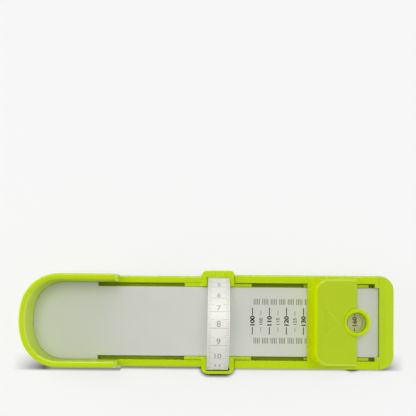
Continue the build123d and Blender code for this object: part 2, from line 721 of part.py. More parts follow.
with BuildPart() as measuring_tape:
    # radii of the arch's far and near sides, which run from the far lip to the crown and from
    # the crown straight down into the near loop
    y_bend = y_lip + lip_round
    far_end, crown_start = 180 - arch_far_angle, 180 - arch_crown_far_angle
    crown_end, near_end = 180 + arch_crown_near_angle, 270
    far_y, far_z = turn_step(far_end, crown_start)
    crown_y, crown_z = turn_step(crown_start, crown_end)
    near_y, near_z = turn_step(crown_end, near_end)
    bend_y, bend_z = turn_step(180, far_end)
    span_y = -y_tape - (y_bend - tape_bend * bend_y) - arch_crown_radius * crown_y
    span_z = z_plate + arch_foot - (z_lip_under - tape_bend * bend_z) - arch_crown_radius * crown_z
    across = far_y * near_z - far_z * near_y
    far_radius = (span_y * near_z - span_z * near_y) / across
    near_radius = (far_y * span_z - far_z * span_y) / across
    # outer face of the tape, from the fixed end over the arch and round the pin
    turn = pin_radius + tape_thickness
    z_bottom = z_pin - turn
    with BuildSketch(Plane.YZ.offset(x_carriage - tape_width / 2)):
        with BuildLine():
            Line((y_bend + tape_tuck, z_lip_under), (y_bend, z_lip_under))
            bend = JernArc((y_bend, z_lip_under), (-1, 0), tape_bend, far_end - 180)
            far_side = JernArc(bend @ 1, bend % 1, far_radius, crown_start - far_end)
            crown = JernArc(far_side @ 1, far_side % 1, arch_crown_radius, crown_end - crown_start)
            near_side = JernArc(crown @ 1, crown % 1, near_radius, near_end - crown_end)
            Line(near_side @ 1, (-y_tape, z_pin))
            RadiusArc((-y_tape, z_pin), (-y_pin, z_bottom), -turn)
            Line((-y_pin, z_bottom), (-y_split - tape_split_gap, z_bottom))
            offset(amount=tape_thickness, side=Side.RIGHT)
        make_face()
    extrude(amount=tape_width)
    for x in (x_carriage - rivet_spacing / 2, x_carriage + rivet_spacing / 2):
        post(x, y_rivets, z_clamp, z_lip_under + tape_thickness, rivet_radius, Mode.SUBTRACT)
save(measuring_tape.part, "measuring_tape")

# ================================================================ free end of the tape
with BuildPart() as tape_tail:
    tape_half = tape_width / 2
    tail_end = y_tab_end - tab_wall
    z_tail = z_tape - tape_thickness / 2
    z_tail_top = z_tail + tape_thickness
    y_rivet = (y_tab + tail_end) / 2
    block(x_carriage - tape_half, x_carriage + tape_half, -y_split, y_tab, z_tail, z_tail_top)
    tail_half = tab_width / 2 - tab_edge
    block(x_carriage - tail_half, x_carriage + tail_half, y_tab, tail_end, z_tail, z_tail_top)
    post(x_carriage, y_rivet, z_tail, z_tail_top, tab_rivet_radius, Mode.SUBTRACT)
save(tape_tail.part, "tape_tail")

with BuildPart() as pull_tab:
    block(
        x_carriage - tab_width / 2,
        x_carriage + tab_width / 2,
        y_tab,
        y_tab_end,
        tab_bottom,
        tab_bottom + tab_thickness,
    )
    fillet(pull_tab.edges().group_by(Axis.Y)[-1], radius=tab_edge)
    x_pocket = x_carriage - tail_half
    block(x_pocket, x_pocket + 2 * tail_half, y_tab, tail_end, z_tail, z_tail_top, Mode.SUBTRACT)
    post(x_carriage, y_rivet, tab_bottom, tab_bottom + tab_thickness, tab_rivet_radius, Mode.SUBTRACT)
save(pull_tab.part, "pull_tab")

with BuildPart() as tab_rivet:
    post(x_carriage, y_rivet, tab_bottom, tab_bottom + tab_thickness, tab_rivet_radius)
save(tab_rivet.part, "tab_rivet")
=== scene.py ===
"""Looks of the child's foot gauge: finishes, printed scale, printed tape, lens, light and camera.

X runs from the heel end to the toe end, Y from the near side to the far side, and Z up.
"""

import json
import math

import bmesh
import bpy
from mathutils import Matrix, Vector

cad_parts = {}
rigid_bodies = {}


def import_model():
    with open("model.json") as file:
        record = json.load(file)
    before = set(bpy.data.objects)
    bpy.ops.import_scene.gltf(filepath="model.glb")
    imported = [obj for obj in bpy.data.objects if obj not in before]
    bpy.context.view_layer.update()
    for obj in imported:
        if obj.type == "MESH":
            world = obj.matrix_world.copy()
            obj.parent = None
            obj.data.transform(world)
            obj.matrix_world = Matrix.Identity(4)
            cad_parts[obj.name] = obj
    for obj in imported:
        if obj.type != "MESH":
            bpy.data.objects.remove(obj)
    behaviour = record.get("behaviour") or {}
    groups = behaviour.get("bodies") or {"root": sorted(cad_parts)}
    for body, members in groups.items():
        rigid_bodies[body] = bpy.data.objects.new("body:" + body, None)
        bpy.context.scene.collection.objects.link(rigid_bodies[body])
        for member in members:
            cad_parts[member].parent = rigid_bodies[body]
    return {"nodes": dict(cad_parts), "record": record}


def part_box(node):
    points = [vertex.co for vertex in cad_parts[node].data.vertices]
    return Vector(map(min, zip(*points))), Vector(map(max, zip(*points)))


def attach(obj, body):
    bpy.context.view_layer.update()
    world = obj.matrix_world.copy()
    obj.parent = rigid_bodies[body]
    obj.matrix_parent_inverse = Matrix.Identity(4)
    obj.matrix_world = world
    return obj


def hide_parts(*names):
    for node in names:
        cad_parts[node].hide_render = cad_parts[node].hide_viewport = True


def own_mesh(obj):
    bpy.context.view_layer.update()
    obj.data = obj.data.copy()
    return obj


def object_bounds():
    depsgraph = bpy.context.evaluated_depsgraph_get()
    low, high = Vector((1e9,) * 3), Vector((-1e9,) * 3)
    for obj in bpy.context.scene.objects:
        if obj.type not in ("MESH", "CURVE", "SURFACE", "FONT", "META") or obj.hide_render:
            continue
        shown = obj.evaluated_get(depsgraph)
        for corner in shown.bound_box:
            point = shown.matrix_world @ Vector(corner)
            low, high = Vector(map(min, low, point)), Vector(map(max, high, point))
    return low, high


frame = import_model()
cad_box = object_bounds()
nodes = frame["nodes"]
MM = 0.001

# ---------------------------------------------------------------- where things are, from the frame
GROOVE_FLOOR = 2.2 * MM             # of the tray, left under its grooves
PLATE_GAP = 0.1 * MM                # from the heel stop to the plate

heel_end, toe_end = cad_box[0].x, cad_box[1].x
plate_low, plate_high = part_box("scale_plate")
tape_low, tape_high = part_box("measuring_tape")
pin_low, pin_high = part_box("turning_pin")
ring_low, ring_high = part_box("window_ring")
tray_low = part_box("base_tray")[0]
lip_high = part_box("carriage_far_loop")[1]
pane_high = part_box("window_pane")[1]
cup_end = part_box("heel_cup")[1].x
x_heel = plate_low.x - PLATE_GAP
x_tape = (tape_low.x + tape_high.x) / 2
z_groove = tray_low.z + GROOVE_FLOOR
z_plate = plate_high.z
tape_width = tape_high.x - tape_low.x


# ================================================================ camera
CAMERA_DISTANCE = 480 * MM          # above the plate
FRAME_PIXELS = 416
PLATE_SCALE = 1.703 / MM            # pixels of that frame for a metre on the plate
CAMERA_X = -2.325 * MM
ROLL = math.radians(0.505)
CENTRE_BELOW = 113.4 / FRAME_PIXELS   # the gauge lies this far below the frame's middle
CENTRE_LEFT = 3 / FRAME_PIXELS
SHIFT_UP = 0.21                     # the rest of that offset comes from a slight tilt
SENSOR_WIDTH = 36                   # millimetres, as Blender counts it
CLIP_START, CLIP_END = 10 * MM, 10


def add_camera():
    """Looks almost straight down onto the plate."""
    data = bpy.data.cameras.new("camera")
    focal = PLATE_SCALE * CAMERA_DISTANCE / FRAME_PIXELS
    tilt = math.atan((CENTRE_BELOW - SHIFT_UP) / focal)
    data.sensor_width = SENSOR_WIDTH
    data.lens = SENSOR_WIDTH * focal * math.cos(tilt)
    data.shift_x = CENTRE_LEFT
    data.shift_y = SHIFT_UP
    data.clip_start = CLIP_START
    data.clip_end = CLIP_END
    camera = bpy.data.objects.new("camera", data)
    bpy.context.scene.collection.objects.link(camera)
    place = Vector((CAMERA_X, 0, z_plate + CAMERA_DISTANCE))
    turn = Matrix.Rotation(ROLL, 4, "Z") @ Matrix.Rotation(tilt, 4, "X")
    camera.matrix_world = Matrix.Translation(place) @ turn
    bpy.context.scene.camera = camera


# ================================================================ colours and node trees
BEVEL_SAMPLES = 8                   # of the rounded normal at edges


def srgb(r, g, b):
    """A colour from its 0 to 255 display values."""

    def linear(v):
        v /= 255
        return v / 12.92 if v <= 0.04045 else ((v + 0.055) / 1.055) ** 2.4

    return linear(r), linear(g), linear(b), 1.0


def tint(colour, factor):
    """The colour, darker with a factor under 1 and lighter with one over it."""
    return tuple(min(1.0, c * factor) for c in colour[:3]) + (1.0,)


class Tree:
    """The node tree of a new material, or of a new world, with short calls for its nodes."""

    def __init__(self, name, kind="Material"):
        blocks = bpy.data.worlds if kind == "World" else bpy.data.materials
        self.owner = blocks.new(name)
        self.owner.use_nodes = True
        self.nodes = self.owner.node_tree.nodes
        self.links = self.owner.node_tree.links
        self.nodes.clear()
        self.surface = self.nodes.new("ShaderNodeOutput" + kind).inputs["Surface"]
        self.place = self.nodes.new("ShaderNodeTexCoord").outputs["Object"]
        geometry = self.nodes.new("ShaderNodeNewGeometry")
        self.position = geometry.outputs["Position"]
        self.facing = geometry.outputs["Normal"]

    def node(self, kind, settings=None, **inputs):
        """A new node with its settings, and its inputs as values or as links."""
        made = self.nodes.new(kind)
        for key, value in (settings or {}).items():
            setattr(made, key, value)
        for key, value in inputs.items():
            self.put(made.inputs[key.replace("_", " ")], value)
        return made

    def put(self, socket, value):
        """Links an output to the socket, or sets the socket's own value."""
        if isinstance(value, bpy.types.NodeSocket):
            self.links.new(value, socket)
        else:
            socket.default_value = value

    def noise(self, scale, detail, stretch=(1, 1, 1)):
        """A noise in the object's own coordinates, so that it rides with its piece."""
        place = self.node("ShaderNodeMapping", Vector=self.place, Scale=stretch).outputs[0]
        made = self.node("ShaderNodeTexNoise", Vector=place, Scale=scale, Detail=detail)
        return made.outputs["Fac"]

    def spread(self, value, low, high, from_low=0.3, from_high=0.7):
        """A value taken from one range to another. A noise lies mostly in the range given here."""
        made = self.node("ShaderNodeMapRange", Value=value)
        limits = {"From Min": from_low, "From Max": from_high, "To Min": low, "To Max": high}
        for key, limit in limits.items():
            made.inputs[key].default_value = limit
        return made.outputs["Result"]

    def maths(self, operation, first, second=0.0):
        made = self.node("ShaderNodeMath", {"operation": operation})
        self.put(made.inputs[0], first)
        self.put(made.inputs[1], second)
        return made.outputs[0]

    def vector(self, operation, first, second=(0, 0, 0)):
        """A vector, or for a length or a dot product its number."""
        made = self.node("ShaderNodeVectorMath", {"operation": operation})
        self.put(made.inputs[0], first)
        self.put(made.inputs[1], second)
        return made.outputs["Value" if operation in ("LENGTH", "DOT_PRODUCT") else "Vector"]

    def along(self, axis, vector):
        """One coordinate of a vector."""
        return self.node("ShaderNodeSeparateXYZ", Vector=vector).outputs[axis]

    def mix(self, share, first, second):
        """Two colours mixed, with this share of the second."""
        made = self.node("ShaderNodeMix", {"data_type": "RGBA"})
        self.put(made.inputs["Factor"], share)
        self.put(made.inputs[6], first)
        self.put(made.inputs[7], second)
        return made.outputs[2]

    def mottled(self, noise, colour, darker, lighter):
        """A colour that a noise takes a little darker and lighter."""
        return self.mix(self.spread(noise, 0.0, 1.0), tint(colour, darker), tint(colour, lighter))

    def rounded(self, radius):
        """The normal, rounded at sharp edges."""
        return self.node("ShaderNodeBevel", {"samples": BEVEL_SAMPLES}, Radius=radius).outputs[0]

    def turned(self, normal):
        """How far a normal turns from the face's own."""
        return self.maths("SUBTRACT", 1.0, self.vector("DOT_PRODUCT", normal, self.facing))

    def bump(self, height, normal=None, *, strength, distance):
        """A normal with this relief, on top of another normal or of the face's own."""
        made = self.node("ShaderNodeBump", Height=height, Strength=strength, Distance=distance)
        if normal is not None:
            self.links.new(normal, made.inputs["Normal"])
        return made.outputs[0]

    def principled(self, specular=0.5, **inputs):
        """The tree's shader, with its specular level on its own socket."""
        shader = self.node("ShaderNodeBsdfPrincipled", **inputs)
        shader.inputs["Specular IOR Level"].default_value = specular
        self.links.new(shader.outputs[0], self.surface)
        return shader

    def mix_shaders(self, share, first, second):
        """Two shaders mixed, with this share of the second, as the tree's shader."""
        both = self.node("ShaderNodeMixShader")
        self.links.new(share, both.inputs[0])
        self.links.new(first.outputs[0], both.inputs[1])
        self.links.new(second.outputs[0], both.inputs[2])
        self.links.new(both.outputs[0], self.surface)

    def sees_backdrop(self):
        """1 for the rays that show the backdrop: the camera's, and those from metal and glass."""
        rays = self.node("ShaderNodeLightPath").outputs
        seen = rays["Is Camera Ray"]
        for kind in ("Is Glossy Ray", "Is Transmission Ray"):
            seen = self.maths("MAXIMUM", seen, rays[kind])
        return seen


# ================================================================ patches of painted light and painted shade
GROOVE_PAINTED_SHADE_HEIGHTS = (0.2 * MM, 0.6 * MM)  # of the grooves' painted shade, heights above the groove's floor: still full, and gone
UPWARD = (0.5, 0.9)                 # of a face's turn towards up: where the grooves' painted shade begins, and is full
# of a face's turn towards the near or the far side: where the hood's painted light begins, and is full
SIDE_PAINTED_LIGHT_TURN = (0.2, 0.6)
BORE_PAINTED_LIGHT_DEPTHS = (1.7 * MM, 1.3 * MM)    # of the painted light, inside the ring's outer face: still full, and gone
PANE_PAINTED_LIGHT_HEIGHT = 0.5 * MM                # above the pane, where the painted light is gone


def towards(axis, start, full):
    """A patch of painted light on the faces turned towards an axis, or away from it where full is under
    start.
    """

    def share(tree):
        return tree.spread(tree.along(axis, tree.facing), 0.0, 1.0, start, full)

    return share


def to_the_sides(tree):
    """A patch of painted light on the faces turned towards the near or the far side."""
    turn = tree.maths("ABSOLUTE", tree.along("Y", tree.facing))
    return tree.spread(turn, 0.0, 1.0, *SIDE_PAINTED_LIGHT_TURN)


def in_groove(tree):
    """A patch of painted shade on the upward faces that lie low in the tray."""
    full, gone = (z_groove + height for height in GROOVE_PAINTED_SHADE_HEIGHTS)
    low = tree.spread(tree.along("Z", tree.place), 1.0, 0.0, full, gone)
    return tree.maths("MULTIPLY", low, towards("Z", *UPWARD)(tree))


def in_window(tree):
    """A patch of painted light on the ring's inside, under the reading window's pane."""
    middle = (ring_low + ring_high) / 2
    away = tree.vector("SUBTRACT", tree.place, (middle.x, middle.y, 0))
    radius = tree.vector("LENGTH", tree.vector("MULTIPLY", away, (1, 1, 0)))
    full, gone = ((ring_high.x - ring_low.x) / 2 - depth for depth in BORE_PAINTED_LIGHT_DEPTHS)
    inside = tree.spread(radius, 1.0, 0.0, full, gone)
    low = tree.spread(tree.along("Z", tree.place), 1.0, 0.0, pane_high.z, pane_high.z + PANE_PAINTED_LIGHT_HEIGHT)
    return tree.maths("MULTIPLY", inside, low)


# painted light: the hood's toe face, turned towards the heel end, painted a brighter and deeper green as
# if lit from there
TOE_FACE_PAINTED_LIGHT = towards("X", 0.2, -0.6)
# painted light: the heel cup's inner wall, turned towards the toe end, painted paler for the light and
# reflection it catches
HEEL_INSIDE_PAINTED_LIGHT = towards("X", 0.1, 0.9)


# ================================================================ materials
# painted highlight: the colour that edges are painted towards, where light would catch them
PAINTED_EDGE_HIGHLIGHT = srgb(222, 238, 130)
EDGE_GAIN = 3.0                     # an edge's small turn, times this, is its share of the painted highlight
WEAVE_SHADE = srgb(206, 202, 190)
WEAVE_SHARE = 0.10
LENS_TINT = (1.0, 0.99, 0.86, 1)
ACRYLIC_IOR = 1.49


def moulded_plastic(
    name, colour, gloss=0.28, painted_edge_highlight=0.3, rounding=0.6 * MM, shine=0.14, clear=0.0, painted_patches=()
):
    """Injection moulded plastic: faint flow mottling, fine spark grain, and rounded edges painted paler as
    a highlight.

    A translucent part, with clear over 0, is smooth and lets that share of the light through.
    Each patch paints its own colour, as painted light or painted shade.
    """
    tree = Tree(name)
    flow = tree.noise(scale=38, detail=4, stretch=(1, 2.5, 1))
    waves = tree.noise(scale=160, detail=2)
    base = tree.mottled(flow, colour, darker=0.985, lighter=1.015)
    for patch, painted_patch_colour in painted_patches:
        base = tree.mix(patch(tree), base, painted_patch_colour)
    normal = tree.rounded(rounding)
    # painted highlight: an edge's share of the paler colour, from how far the rounded normal turns
    edge = tree.maths("MINIMUM", tree.maths("MULTIPLY", tree.turned(normal), EDGE_GAIN), 1.0)
    if not clear:
        grain = tree.noise(scale=5200, detail=2)
        normal = tree.bump(grain, normal, strength=0.05, distance=0.01 * MM)
        normal = tree.bump(waves, normal, strength=0.015, distance=0.04 * MM)
    shader = tree.principled(
        specular=shine,
        Base_Color=tree.mix(tree.maths("MULTIPLY", edge, painted_edge_highlight), base, PAINTED_EDGE_HIGHLIGHT),
        Roughness=tree.spread(waves, gloss - 0.02, gloss + 0.03),
        Normal=normal,
    )
    if clear:
        passing = tree.node("ShaderNodeBsdfTransparent", Color=colour)
        shadow = tree.node("ShaderNodeLightPath").outputs["Is Shadow Ray"]
        tree.mix_shaders(tree.maths("MULTIPLY", shadow, clear), shader, passing)
    return tree.owner


def plate_finish():
    """Satin grey plate: a very fine etched grain and faint clouding."""
    tree = Tree("plate_grey")
    cloud = tree.noise(scale=26, detail=5)
    grain = tree.noise(scale=3600, detail=2)
    tree.principled(
        specular=0.35,
        Base_Color=tree.mottled(cloud, srgb(205, 206, 199), darker=0.975, lighter=1.02),
        Roughness=tree.spread(grain, 0.44, 0.56),
        Normal=tree.bump(grain, tree.rounded(0.2 * MM), strength=0.15, distance=0.01 * MM),
    )
    return tree.owner


def tape_finish():
    """Coated woven tape: a fine plain weave under a satin coat."""
    tree = Tree("tape")

    def threads(axis):
        settings = {"bands_direction": axis}
        made = tree.node("ShaderNodeTexWave", settings, Vector=tree.place, Scale=420, Distortion=0.4)
        return made.outputs["Fac"]

    weave = tree.maths("MULTIPLY", threads("X"), threads("Y"))
    stain = tree.noise(scale=120, detail=4)
    base = tree.mottled(stain, srgb(229, 229, 220), darker=0.96, lighter=1.02)
    tree.principled(
        specular=0.2,
        Base_Color=tree.mix(tree.maths("MULTIPLY", weave, WEAVE_SHARE), base, WEAVE_SHADE),
        Roughness=tree.spread(stain, 0.42, 0.52),
        Normal=tree.bump(weave, strength=0.35, distance=0.02 * MM),
    )
    return tree.owner


def ink(name, colour):
    """Screen print: matt, slightly uneven in density."""
    tree = Tree(name)
    wear = tree.noise(scale=900, detail=4)
    tree.principled(
        specular=0.25,
        Base_Color=tree.mottled(wear, colour, darker=0.9, lighter=1.15),
        Roughness=tree.spread(wear, 0.5, 0.65),
        Normal=tree.bump(wear, strength=0.1, distance=0.005 * MM),
    )
    return tree.owner


def lens_glass():
    """Clear, faintly yellow acrylic pane: a flat sheet, so light goes straight through it."""
    tree = Tree("lens")
    smear = tree.noise(scale=220, detail=3)
    clear = tree.node("ShaderNodeBsdfTransparent", Color=LENS_TINT)
    gloss = tree.node("ShaderNodeBsdfGlossy", Roughness=tree.spread(smear, 0.02, 0.08))
    tree.mix_shaders(tree.node("ShaderNodeFresnel", IOR=ACRYLIC_IOR).outputs[0], clear, gloss)
    return tree.owner


def rubber_finish():
    """Dark rubber with dust on it."""
    tree = Tree("rubber")
    dust = tree.noise(scale=700, detail=5)
    tree.principled(
        specular=0.3,
        Base_Color=tree.mottled(dust, srgb(52, 53, 50), darker=0.8, lighter=1.5),
        Roughness=tree.spread(dust, 0.7, 0.9),
        Normal=tree.bump(dust, tree.rounded(0.3 * MM), strength=0.3, distance=0.03 * MM),
    )
    return tree.owner


def steel_finish():
    """Bright steel with fine scratches."""
    tree = Tree("steel")
    scratch = tree.noise(scale=900, detail=4, stretch=(1, 9, 1))
    tree.principled(
        Base_Color=tree.mottled(scratch, srgb(196, 197, 199), darker=0.85, lighter=1.05),
        Metallic=1,
        Roughness=tree.spread(scratch, 0.22, 0.42),
        Normal=tree.bump(scratch, tree.rounded(0.15 * MM), strength=0.2, distance=0.01 * MM),
    )
    return tree.owner


MATERIALS = {
    # painted shade: the floors of the grooves are painted a darker green
    "tray_green": moulded_plastic(
        "tray_green", srgb(186, 212, 0), painted_patches=[(in_groove, srgb(150, 170, 0))]
    ),
    # painted light: the inside of the heel cup's wall is painted paler
    "heel_green": moulded_plastic(
        "heel_green", srgb(186, 212, 0), gloss=0.34, painted_patches=[(HEEL_INSIDE_PAINTED_LIGHT, srgb(208, 232, 78))]
    ),
    # painted sheen: the whole end cap is a paler, greyer green than the tray, for the sheen on its sloped
    # top
    "cap_green": moulded_plastic("cap_green", srgb(182, 210, 30)),
    "carriage_green": moulded_plastic("carriage_green", srgb(186, 213, 0)),
    "slider_green": moulded_plastic("slider_green", srgb(188, 210, 14), shine=0.03, clear=0.7),
    # partly painted sheen: the hood's green is its plastic's colour with a sheen painted in, in place of
    # its shine, which is off
    "hood_green": moulded_plastic(
        "hood_green", srgb(176, 200, 42), painted_edge_highlight=0.0, rounding=0.12 * MM, shine=0.0, clear=0.7,
        painted_patches=[(to_the_sides, srgb(206, 226, 84)), (TOE_FACE_PAINTED_LIGHT, srgb(196, 216, 0))],
    ),
    # painted light: the ring's inside under the pane is painted paler
    "bezel_green": moulded_plastic(
        "bezel_green", srgb(196, 220, 0), shine=0.03, clear=0.9, painted_patches=[(in_window, srgb(226, 234, 160))]
    ),
    "plate_grey": plate_finish(),
    "tape": tape_finish(),
    "lens": lens_glass(),
    "rubber": rubber_finish(),
    "steel": steel_finish(),
    "scale_print": ink("scale_print", srgb(24, 22, 18)),
    "half_print": ink("half_print", srgb(56, 54, 46)),
    "tick_print": ink("tick_print", srgb(126, 126, 114)),
    "tape_print": ink("tape_print", srgb(158, 156, 148)),
}
OWN_FINISH = {"base_tray": "tray_green", "heel_cup": "heel_green", "end_cap": "cap_green"}


def finish_nodes():
    """Each CAD node takes its own finish, or the material of its slot in the record."""
    for entry in frame["record"]["subparts"]:
        target = nodes[entry["node"]]
        target.data.materials.clear()
        target.data.materials.append(MATERIALS[OWN_FINISH.get(entry["node"], entry["material_slot"])])


# ================================================================ printing
FILM = 0.02 * MM                    # thickness of a print
CURVE_STEPS = 6                     # of each curve in a figure's outline


def new_piece(name, mesh, material, body):
    """A new piece of one material, which rides on a body."""
    piece = bpy.data.objects.new(name, mesh)
    bpy.context.scene.collection.objects.link(piece)
    mesh.materials.clear()
    mesh.materials.append(material)
    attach(piece, body)
    return piece


def figures(text, height, stretch, weight):
    """A bmesh of the text, centred at the origin, its figures this high and one film thick."""
    curve = bpy.data.curves.new("figures", "FONT")
    curve.body = text
    curve.size = 1
    curve.offset = weight
    curve.extrude = 0.5
    curve.resolution_u = CURVE_STEPS
    holder = bpy.data.objects.new("figures", curve)
    bpy.context.scene.collection.objects.link(holder)
    bpy.context.view_layer.update()
    graph = bpy.context.evaluated_depsgraph_get()
    mesh = bpy.data.meshes.new_from_object(holder.evaluated_get(graph))
    bpy.data.objects.remove(holder)
    bpy.data.curves.remove(curve)
    made = bmesh.new()
    made.from_mesh(mesh)
    bpy.data.meshes.remove(mesh)
    low = [min(v.co[i] for v in made.verts) for i in range(2)]
    high = [max(v.co[i] for v in made.verts) for i in range(2)]
    size = height / (high[1] - low[1])
    for v in made.verts:
        v.co.x = (v.co.x - (low[0] + high[0]) / 2) * size * stretch
        v.co.y = (v.co.y - (low[1] + high[1]) / 2) * size
        v.co.z = v.co.z * FILM
    return made


def bar(width, height):
    """A bmesh of a flat bar, centred at the origin and one film thick."""
    made = bmesh.new()
    bmesh.ops.create_cube(made, size=1)
    bmesh.ops.scale(made, vec=(width, height, FILM), verts=made.verts)
    return made


def gather(parts):
    """One mesh of many bmeshes, each moved by its own function from a point to a point."""
    whole = bmesh.new()
    for part, move in parts:
        for v in part.verts:
            v.co = move(v.co)
        part.normal_update()
        mesh = bpy.data.meshes.new("part")
        part.to_mesh(mesh)
        part.free()
        whole.from_mesh(mesh)
        bpy.data.meshes.remove(mesh)
    bmesh.ops.recalc_face_normals(whole, faces=whole.faces)
    mesh = bpy.data.meshes.new("printing")
    whole.to_mesh(mesh)
    whole.free()
    return mesh


# ---------------------------------------------------------------- the scale on the plate
SCALE_OFFSET = 28.8 * MM            # mark 0 to the heel stop: the reading window stands behind the toes
FIRST_MARK, LAST_MARK = 100, 160
PRINT_Y = 0.4 * MM                  # the print sits a little towards the far side
FIGURE = {"height": 2.7 * MM, "stretch": 1.22, "weight": 0.04}
FIGURE_SHIFT = 0.3 * MM             # the large figures stand nearer to the far mark
HALF_FIGURE = {"height": 1.9 * MM, "stretch": 1.2, "weight": 0.04 / 3}
MARK = (3.4 * MM, 7.9 * MM, 0.5 * MM)   # inner end and outer end from the print's middle, and width
HALF_MARK = (3.4 * MM, 6.1 * MM, 0.26 * MM)
TICK = (9.7 * MM, 13.1 * MM, 0.48 * MM)


def on_plate(x, y, turned=False):
    """Moves a flat part onto the plate, read from the near side or, turned, from the toe end."""

    def move(p):
        u, v = (-p.y, p.x) if turned else (p.x, p.y)
        return Vector((x + u, y + v, z_plate + p.z))

    return move


def mark_pair(x, mark):
    """The same mark on both sides of the print's middle line."""
    inner, outer, width = mark
    middle = (inner + outer) / 2
    return [(bar(width, outer - inner), on_plate(x, PRINT_Y + side * middle)) for side in (-1, 1)]


def print_scale():
    """A number with its marks at every 10 mm, a small one at every 5 mm, and ticks outside them."""
    main, half, ticks = [], [], []
    for reading in range(FIRST_MARK, LAST_MARK + 1):
        x = x_heel + SCALE_OFFSET + reading * MM
        if reading % 10 == 0:
            number = figures(str(reading), **FIGURE)
            main.append((number, on_plate(x, PRINT_Y + FIGURE_SHIFT, turned=True)))
            main.extend(mark_pair(x, MARK))
        elif reading % 5 == 0:
            number = figures(str(reading), **HALF_FIGURE)
            half.append((number, on_plate(x, PRINT_Y, turned=True)))
            half.extend(mark_pair(x, HALF_MARK))
        else:
            ticks.extend(mark_pair(x, TICK))
    new_piece("scale_marks", gather(main), MATERIALS["scale_print"], "base")
    new_piece("scale_half_marks", gather(half), MATERIALS["half_print"], "base")
    new_piece("scale_ticks", gather(ticks), MATERIALS["tick_print"], "base")


# ================================================================ tape
TAPE_THICKNESS = 0.45 * MM
TAPE_BEND = 1.2 * MM                # at the far lip
LIP_ROUND = 1.1 * MM
LIP_LENGTH = 2.9 * MM
LIP_THICKNESS = 1.2 * MM
LOOP_WALL = 1.0 * MM                # of the far loop
SPLIT_PAST_PIN = 4.55 * MM          # where this stretch of tape ends under the tray
TAPE_TUCK = 1.6 * MM
CROWN_RADIUS = 17.0 * MM
FAR_SLOPE, CROWN_FAR_SLOPE, CROWN_NEAR_SLOPE = 63, 35, 35      # degrees
ARCH_FOOT = 1.4 * MM                # above the plate
ARCH_STEPS = 40                     # of each of the arch's three arcs
TAPE_SKEW = 0.0125                  # towards the toe end at the far side
TAPE_COLUMNS = 12                   # faces across the tape
SHARP_ANGLE = math.radians(35)


def turn_step(heading, new_heading):
    """How far a left turn of radius 1 goes along Y and Z, between two headings in degrees from +Y."""
    start, end = math.radians(heading), math.radians(new_heading)
    return Vector((math.sin(end) - math.sin(start), math.cos(start) - math.cos(end)))


def outward(heading):
    """The way out of the tape's face along Y and Z, where the tape runs at this heading."""
    angle = math.radians(heading)
    return Vector((math.sin(angle), -math.cos(angle)))


class TapePath:
    """The outer face of the tape in the YZ plane, as straight runs and arcs that follow each other."""

    def __init__(self, start, heading):
        self.points, self.headings = [Vector(start)], [heading]

    def line(self, length, steps):
        first, heading = self.points[-1], self.headings[-1]
        angle = math.radians(heading)
        way = Vector((math.cos(angle), math.sin(angle)))
        for i in range(1, steps + 1):
            self.points.append(first + way * length * i / steps)
            self.headings.append(heading)

    def arc(self, radius, turn, steps):
        """A left turn, or a right turn with a negative angle."""
        first, heading = self.points[-1], self.headings[-1]
        signed = radius if turn > 0 else -radius
        for i in range(1, steps + 1):
            new_heading = heading + turn * i / steps
            self.points.append(first + signed * turn_step(heading, new_heading))
            self.headings.append(new_heading)

    def finish(self):
        """Measures the path, which has all its runs and arcs."""
        self.lengths = [0.0]
        for a, b in zip(self.points, self.points[1:]):
            self.lengths.append(self.lengths[-1] + (b - a).length)

    def at(self, length):
        """The point at a length along the path, and the way out of the tape's face there."""
        last = len(self.lengths) - 2
        i = next((k for k in range(last) if self.lengths[k + 1] >= length), last)
        share = (length - self.lengths[i]) / (self.lengths[i + 1] - self.lengths[i])
        heading = self.headings[i] + (self.headings[i + 1] - self.headings[i]) * share
        return self.points[i].lerp(self.points[i + 1], share), outward(heading)


def tape_paths():
    """The fixed end under the far lip, the arch, and the near leg round the turning pin."""
    y_wall = lip_high.y - LOOP_WALL
    y_bend = y_wall - LIP_LENGTH + LIP_ROUND
    z_lip = lip_high.z - LIP_THICKNESS
    z_foot = z_plate + ARCH_FOOT
    headings = (180 - FAR_SLOPE, 180 - CROWN_FAR_SLOPE, 180 + CROWN_NEAR_SLOPE, 270)

    fixed = TapePath((y_bend + TAPE_TUCK, z_lip), 180)
    fixed.line(TAPE_TUCK, steps=2)
    fixed.arc(TAPE_BEND, headings[0] - 180, steps=8)
    fixed.finish()

    # the crown's radius is given, and the radii beside it make the arch end at the near foot
    far, crown, near = (turn_step(a, b) for a, b in zip(headings, headings[1:]))
    span = Vector((tape_low.y, z_foot)) - fixed.points[-1] - CROWN_RADIUS * crown
    across = far.x * near.y - far.y * near.x
    far_radius = (span.x * near.y - span.y * near.x) / across
    near_radius = (far.x * span.y - far.y * span.x) / across
    arch = TapePath(fixed.points[-1], headings[0])
    for radius, start, end in zip((far_radius, CROWN_RADIUS, near_radius), headings, headings[1:]):
        arch.arc(radius, end - start, ARCH_STEPS)
    arch.finish()

    z_pin = (pin_low.z + pin_high.z) / 2
    turn = (pin_high.z - pin_low.z) / 2 + TAPE_THICKNESS
    lower = TapePath(arch.points[-1], 270)
    lower.line(z_foot - z_pin, steps=6)
    lower.arc(turn, 90, steps=12)
    lower.line(SPLIT_PAST_PIN, steps=4)
    lower.finish()
    return fixed, arch, lower


